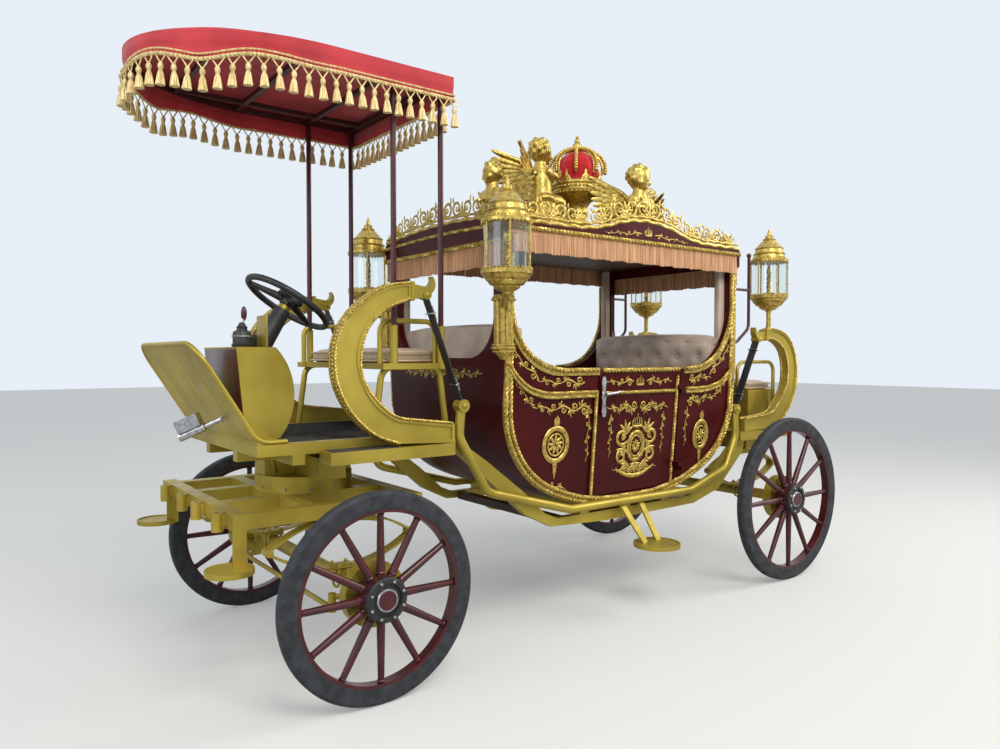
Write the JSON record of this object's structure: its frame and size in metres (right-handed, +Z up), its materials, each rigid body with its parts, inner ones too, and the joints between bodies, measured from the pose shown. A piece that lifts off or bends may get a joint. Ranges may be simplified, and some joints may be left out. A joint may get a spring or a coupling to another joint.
{
  "type": "royal carriage",
  "caption": "Gilt and maroon state carriage: coach body hung between C-scroll arches, canopied driver's platform, steerable fore-carriage, wooden-pattern wheels.",
  "frame": {"origin": "on the ground at the middle of the overall length and width", "axes": "+X forward, +Y to the carriage's left, +Z up"},
  "size_m": [3.8619, 1.554, 2.56],
  "materials": {
    "gold_paint": "satin yellow-gold paint",
    "gilt_carving": "bright gilt paint on cast ornament",
    "maroon_gloss": "dark glossy maroon coachwork",
    "maroon_paint": "gloss maroon paint",
    "brown_frame": "dark brown paint",
    "dark_frame": "dark paint",
    "deck_rubber": "dark ribbed non-slip covering",
    "black_plastic": "black grained plastic",
    "pale_leather": "pale champagne leather",
    "tan_leather": "tan leather",
    "strap_leather": "black leather strap",
    "canopy_cloth": "red canopy cloth",
    "tan_fringe": "tan silk fringe",
    "red_velvet": "red velvet",
    "clear_glass": "clear lantern glass",
    "bare_steel": "plain steel and cast aluminium",
    "tyre_rubber": "dark rubber tyre"
  },
  "bodies": {
    "carriage": {"body_floor": "maroon_gloss", "body_mouldings": "gilt_carving", "brake_actuator": "bare_steel", "canopy": "canopy_cloth", "canopy_frame": "dark_frame", "canopy_posts": "maroon_paint", "cradles": "gold_paint", "cross_members": "brown_frame", "crown_cap": "red_velvet", "door_steps": "gold_paint", "driver_bench": "gold_paint", "driver_cushion": "pale_leather", "footboard": "gold_paint", "footman_box": "gold_paint", "footman_cushion": "pale_leather", "front_arches": "gold_paint", "front_seat": "tan_leather", "front_wall": "maroon_gloss", "guard_rails": "maroon_paint", "lantern_glass": "clear_glass", "lanterns": "gilt_carving", "perch_rails": "gold_paint", "platform_deck": "deck_rubber", "platform_frame": "gold_paint", "rear_arches": "gold_paint", "rear_axle": "gold_paint", "rear_platform": "gold_paint", "rear_seat": "tan_leather", "rear_springs": "gold_paint", "rear_wall": "maroon_gloss", "roof": "maroon_gloss", "roof_cresting": "gilt_carving", "roof_crown": "gilt_carving", "roof_figures": "gilt_carving", "roof_fringe": "tan_fringe", "seat_boxes": "tan_leather", "side_panel_left": "maroon_gloss", "side_panel_right": "maroon_gloss", "steering_console": "gold_paint", "steering_shaft": "gold_paint", "straps": "strap_leather", "turntable_bolster": "gold_paint"},
    "forecarriage": {"turntable_ring": "gold_paint", "draw_frame": "gold_paint", "front_springs": "gold_paint", "front_axle": "gold_paint"},
    "knuckle_left": {"knuckle_left": "gold_paint"},
    "knuckle_right": {"knuckle_right": "gold_paint"},
    "tie_rod": {"tie_rod": "gold_paint"},
    "steering_wheel": {"steering_wheel": "black_plastic"},
    "door_left": {"door_left": "maroon_gloss"},
    "door_right": {"door_right": "maroon_gloss"},
    "wheel_front_left": {"wheel_front_left": "maroon_paint", "tyre_front_left": "tyre_rubber"},
    "wheel_front_right": {"wheel_front_right": "maroon_paint", "tyre_front_right": "tyre_rubber"},
    "wheel_rear_left": {"wheel_rear_left": "maroon_paint", "tyre_rear_left": "tyre_rubber"},
    "wheel_rear_right": {"wheel_rear_right": "maroon_paint", "tyre_rear_right": "tyre_rubber"}
  },
  "joints": [
    {"name": "turntable", "type": "hinge", "parent": "carriage", "child": "forecarriage", "pos_m": [1.209, 0, 0.757], "axis": [0, 0, 1], "range_deg": [-20, 20]},
    {"name": "steer_left", "type": "hinge", "parent": "forecarriage", "child": "knuckle_left", "pos_m": [1.209, 0.582, 0.4], "axis": [0, 0, 1], "range_deg": [-25, 25]},
    {"name": "steer_right", "type": "hinge", "parent": "forecarriage", "child": "knuckle_right", "pos_m": [1.209, -0.582, 0.4], "axis": [0, 0, 1], "range_deg": [-25, 25]},
    {"name": "tie_rod_eye", "type": "hinge", "parent": "knuckle_left", "child": "tie_rod", "pos_m": [1.329, 0.552, 0.338], "axis": [0, 0, 1], "range_deg": [-25, 25]},
    {"name": "steering_wheel_turn", "type": "hinge", "parent": "carriage", "child": "steering_wheel", "pos_m": [1.279, 0, 1.535], "axis": [-0.545, 0, 0.8384], "range_deg": [-200, 200]},
    {"name": "door_left_hinge", "type": "hinge", "parent": "carriage", "child": "door_left", "pos_m": [-0.735, 0.529, 0.9], "axis": [0, 0, 1], "range_deg": [0, 85]},
    {"name": "door_right_hinge", "type": "hinge", "parent": "carriage", "child": "door_right", "pos_m": [-0.735, -0.529, 0.9], "axis": [0, 0, -1], "range_deg": [0, 85]},
    {"name": "spin_front_left", "type": "hinge", "parent": "knuckle_left", "child": "wheel_front_left", "pos_m": [1.209, 0.718, 0.4], "axis": [0, 1, 0], "continuous": true},
    {"name": "spin_front_right", "type": "hinge", "parent": "knuckle_right", "child": "wheel_front_right", "pos_m": [1.209, -0.718, 0.4], "axis": [0, 1, 0], "continuous": true},
    {"name": "spin_rear_left", "type": "hinge", "parent": "carriage", "child": "wheel_rear_left", "pos_m": [-1.461, 0.718, 0.47], "axis": [0, 1, 0], "continuous": true},
    {"name": "spin_rear_right", "type": "hinge", "parent": "carriage", "child": "wheel_rear_right", "pos_m": [-1.461, -0.718, 0.47], "axis": [0, 1, 0], "continuous": true}
  ],
  "couplings": [
    {"joint": "steer_right", "follows": "steer_left", "ratio": 1},
    {"joint": "tie_rod_eye", "follows": "steer_left", "ratio": -1},
    {"joint": "steering_wheel_turn", "follows": "steer_left", "ratio": 8}
  ]
}
